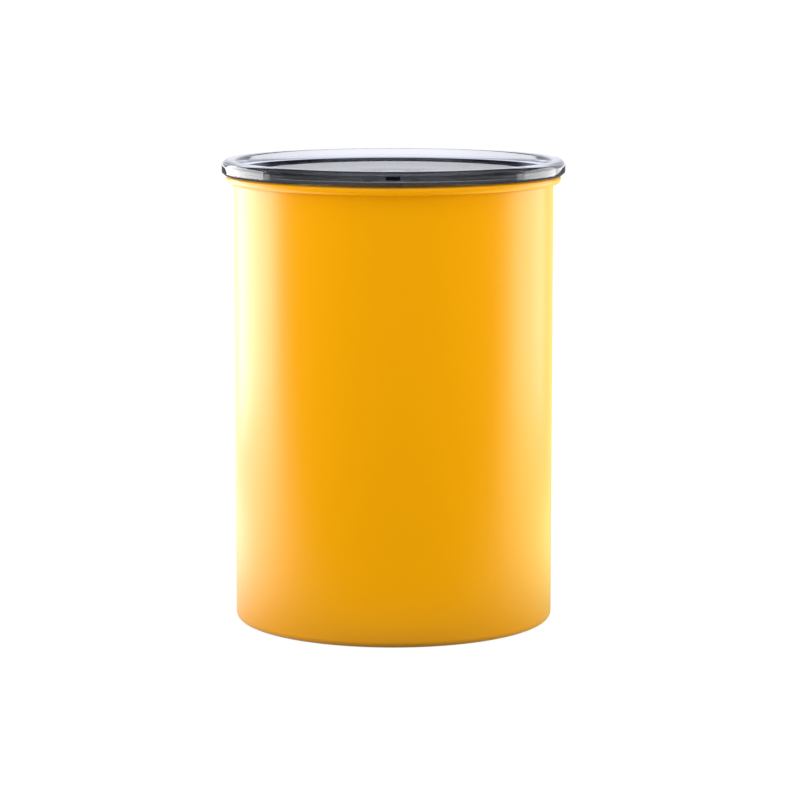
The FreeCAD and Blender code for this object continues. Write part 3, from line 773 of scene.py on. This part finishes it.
# Stage: a plain white floor that keeps the canister's shadow, a white surround, soft boxes and cards, and
# the camera where the photograph was taken from. Satin gloss and polished plastic each find their own
# reflections in floor and surround, as a studio's flags and cards would give them.
floor_half = 30.0
floor_mesh = bpy.data.meshes.new("floor")
floor_mesh.from_pydata([(-floor_half, -floor_half, 0), (floor_half, -floor_half, 0),
                        (floor_half, floor_half, 0), (-floor_half, floor_half, 0)], [], [(0, 1, 2, 3)])
white_floor, tree = blank_material("white_floor")
sight = add(tree, "ShaderNodeLightPath").outputs
spot = add(tree, "ShaderNodeSeparateXYZ", {"Vector": add(tree, "ShaderNodeTexCoord").outputs["Object"]})

# Paper: white to the camera and behind the canister, and flagged off in front of it.
floor_white = 0.95
flag_level = 0.05
flag_start, flag_end = -0.1, 0.05
behind = add(tree, "ShaderNodeMapRange", {
    "Value": spot.outputs["Y"], "From Min": flag_start, "From Max": flag_end})
bare = add(tree, "ShaderNodeMath", {0: sight["Is Camera Ray"], 1: behind.outputs[0]}, operation="MAXIMUM")
shade = add(tree, "ShaderNodeMix", {"Factor": bare.outputs[0], "A": flag_level, "B": floor_white})
paper = add(tree, "ShaderNodeBsdfDiffuse", {"Color": shade.outputs[0]})

# Satin gloss finds a pool of light on each side of the canister, brightest close by.
pool_start, pool_end = 0.06, 0.16
pool_dim = 0.8
near_y, far_y = 0.08, 0.25
near_level, far_level = 3.6, 2.1
spread_start, spread_end = -0.14, -0.02
aside = add(tree, "ShaderNodeMath", {0: spot.outputs["X"]}, operation="ABSOLUTE")
pool_level = add(tree, "ShaderNodeMapRange", {
    "Value": spot.outputs["Y"], "From Min": near_y, "From Max": far_y,
    "To Min": near_level, "To Max": far_level})
pool = add(tree, "ShaderNodeMapRange", {
    "Value": aside.outputs[0], "From Min": pool_start, "From Max": pool_end,
    "To Min": pool_dim, "To Max": pool_level.outputs[0]})
spread = add(tree, "ShaderNodeMapRange", {
    "Value": spot.outputs["Y"], "From Min": spread_start, "From Max": spread_end})
lit = add(tree, "ShaderNodeMath", {0: spread.outputs[0], 1: pool.outputs[0]}, operation="MULTIPLY")

# Polished plastic mirrors a dim floor with bright wings far out, and the floor seen through it is white.
front_level = 0.6
wing_start, wing_end = 1.2, 1.35
wing_dim, wing_bright = 0.2, 3.0
through_level = 1.05
wings = add(tree, "ShaderNodeMapRange", {
    "Value": aside.outputs[0], "From Min": wing_start, "From Max": wing_end,
    "To Min": wing_dim, "To Max": wing_bright})
beyond = add(tree, "ShaderNodeMix", {
    "Factor": sight["Is Transmission Ray"], "A": wings.outputs[0], "B": through_level})
polished = add(tree, "ShaderNodeMix", {
    "Factor": behind.outputs[0], "A": front_level, "B": beyond.outputs[0]})

# Painted reflection: the floor's glow is painted the coat's yellow where satin gloss sees it, fully on the
# right and faintly on the left.
tint_edge = 0.06
left_tint = 0.3
satin = add(tree, "ShaderNodeMath", {
    0: sight["Is Glossy Ray"], 1: sight["Is Singular Ray"]}, operation="SUBTRACT")
side = add(tree, "ShaderNodeMapRange", {
    "Value": spot.outputs["X"], "From Min": -tint_edge, "From Max": tint_edge, "To Min": left_tint})
tinted = add(tree, "ShaderNodeMath", {0: satin.outputs[0], 1: side.outputs[0]}, operation="MULTIPLY")
# Painted reflection colour: the floor glows yellow for satin gloss.
painted_yellow_glow = add(tree, "ShaderNodeMix", {
    "Factor": tinted.outputs[0], "A": hexed("#FFFFFF"), "B": hexed("#D7E7A2")}, data_type="RGBA")

# The camera sees mostly the glow, and paper enough to keep the shadow.
floor_glow = 1.03
glow_share = 0.9
mirror = add(tree, "ShaderNodeMix", {
    "Factor": sight["Is Singular Ray"], "A": lit.outputs[0], "B": polished.outputs[0]})
glow_level = add(tree, "ShaderNodeMix", {
    "Factor": sight["Is Glossy Ray"], "A": floor_glow, "B": mirror.outputs[0]})
glow = add(tree, "ShaderNodeEmission", {
    "Color": painted_yellow_glow.outputs["Result"], "Strength": glow_level.outputs[0]})
direct = add(tree, "ShaderNodeMath", {
    0: sight["Is Camera Ray"], 1: sight["Is Transmission Ray"]}, operation="MAXIMUM")
seen = add(tree, "ShaderNodeMath", {
    0: direct.outputs[0], 1: glow_share, 2: sight["Is Glossy Ray"]}, operation="MULTIPLY_ADD")
mixed = add(tree, "ShaderNodeMixShader", {0: seen.outputs[0], 1: paper.outputs[0], 2: glow.outputs[0]})
add(tree, "ShaderNodeOutputMaterial", {"Surface": mixed.outputs[0]})
floor = as_piece("floor", floor_mesh, white_floor)

world = bpy.data.worlds.new("white_surround")
bpy.context.scene.world = world
world.use_nodes = True
tree = world.node_tree
tree.nodes.clear()
sight = add(tree, "ShaderNodeLightPath").outputs
heading = add(tree, "ShaderNodeSeparateXYZ", {
    "Vector": add(tree, "ShaderNodeTexCoord").outputs["Generated"]})

# Surround: flagged off in front, except that polished plastic finds some light there, and pale behind,
# where a flag hides the ceiling from polished plastic.
front_start, front_end = -0.25, -0.75
back_start, back_end = 0.25, 0.65
back_satin, back_polished = 0.5, 1.15
roof_start, roof_end = 0.42, 0.53
facing = add(tree, "ShaderNodeMapRange", {
    "Value": heading.outputs["Y"], "From Min": front_start, "From Max": front_end,
    "To Min": flag_level, "To Max": front_level})
front = add(tree, "ShaderNodeMix", {
    "Factor": sight["Is Singular Ray"], "A": flag_level, "B": facing.outputs[0]})
back = add(tree, "ShaderNodeMix", {
    "Factor": sight["Is Singular Ray"], "A": back_satin, "B": back_polished})
backdrop = add(tree, "ShaderNodeMapRange", {
    "Value": heading.outputs["Y"], "From Min": back_start, "From Max": back_end,
    "To Min": front.outputs[0], "To Max": back.outputs[0]})
roof = add(tree, "ShaderNodeMix", {"Factor": sight["Is Singular Ray"], "A": 1.0, "B": flag_level})
ceiling = add(tree, "ShaderNodeMapRange", {
    "Value": heading.outputs["Z"], "From Min": roof_start, "From Max": roof_end,
    "To Min": 1.0, "To Max": roof.outputs[0]})
flagged = add(tree, "ShaderNodeMath", {0: backdrop.outputs[0], 1: ceiling.outputs[0]}, operation="MULTIPLY")

# Two sheets of light: one high in front, and one straight above, which polished plastic does not mirror.
sheet_end = -0.3
sheet_low, sheet_high = 0.35, 0.55
sheet_level = 1.1
top_start, top_end = 0.75, 0.92
top_level, top_through = 2.6, 1.5
ahead = add(tree, "ShaderNodeMapRange", {
    "Value": heading.outputs["Y"], "From Min": 0.0, "From Max": sheet_end})
above = add(tree, "ShaderNodeMapRange", {
    "Value": heading.outputs["Z"], "From Min": sheet_low, "From Max": sheet_high, "To Max": sheet_level})
shown = add(tree, "ShaderNodeMath", {
    0: ahead.outputs[0], 1: above.outputs[0], 2: flagged.outputs[0]}, operation="MULTIPLY_ADD")
passed = add(tree, "ShaderNodeMath", {0: sight["Is Transmission Ray"], 1: top_through}, operation="MULTIPLY")
sky = add(tree, "ShaderNodeMix", {
    "Factor": sight["Is Singular Ray"], "A": top_level, "B": passed.outputs[0]})
zenith = add(tree, "ShaderNodeMapRange", {
    "Value": heading.outputs["Z"], "From Min": top_start, "From Max": top_end, "To Max": sky.outputs[0]})
whole = add(tree, "ShaderNodeMath", {0: shown.outputs[0], 1: zenith.outputs[0]}, operation="ADD")
level = add(tree, "ShaderNodeMix", {"Factor": sight["Is Camera Ray"], "A": whole.outputs[0], "B": 1.0})
shell = add(tree, "ShaderNodeBackground", {"Color": hexed("#EEF0FC"), "Strength": level.outputs[0]})
add(tree, "ShaderNodeOutputWorld", {"Surface": shell.outputs[0]})


def beside(degrees, distance, height):
    """Place and turn of a box that stands on the floor, its angle counted from the camera's side."""
    a = math.radians(degrees)
    return (distance * math.sin(a), -distance * math.cos(a), height / 2), (math.pi / 2, 0, a)


def soft_box(name, location, rotation, width, height, radiance, mirrored):
    """A soft box. A mirrored one shows in gloss only, and the others light matt colour only, as crossed
    polarisers leave them."""
    lamp = bpy.data.lights.new(name, "AREA")
    lamp.shape = "RECTANGLE"
    lamp.size = width
    lamp.size_y = height
    lamp.energy = radiance * math.pi * width * height
    holder = bpy.data.objects.new(name, lamp)
    bpy.context.scene.collection.objects.link(holder)
    holder.location = location
    holder.rotation_euler = rotation
    lamp.cycles.use_multiple_importance_sampling = mirrored
    holder.visible_camera = False
    holder.visible_diffuse = not mirrored
    holder.visible_glossy = mirrored
    holder.visible_transmission = False


box_distance, box_h = 0.45, 0.36
fill_distance, fill_w, fill_h = 1.2, 1.0, 0.8
card_w = 1.8
face_up = (math.pi, 0, 0)
soft_box("left_soft_box", *beside(-116.5, box_distance, box_h),
         width=0.433, height=box_h, radiance=4.1, mirrored=True)
soft_box("right_soft_box", *beside(111.5, box_distance, box_h),
         width=0.327, height=box_h, radiance=2.25, mirrored=True)
soft_box("left_fill", *beside(-80, fill_distance, fill_h),
         width=fill_w, height=fill_h, radiance=4.2, mirrored=False)
soft_box("right_fill", *beside(80, fill_distance, fill_h),
         width=fill_w, height=fill_h, radiance=3.6, mirrored=False)
soft_box("bounce_card", (0, -0.71, 0.001), face_up,
         width=card_w, height=1.28, radiance=0.85, mirrored=False)
soft_box("far_card", (0, -1.13, 0.002), face_up,
         width=card_w, height=1.74, radiance=0.65, mirrored=False)

camera_tilt = 8.345
camera = bpy.data.objects.new("camera", bpy.data.cameras.new("camera"))
bpy.context.scene.collection.objects.link(camera)
camera.data.lens = 144.65
camera.data.sensor_width = 36.0
camera.location = (2.45 * mm, -1.212, 0.2611)
camera.rotation_euler = (math.radians(90 - camera_tilt), 0, 0)
bpy.context.scene.camera = camera
bpy.context.scene.view_settings.view_transform = "Standard"
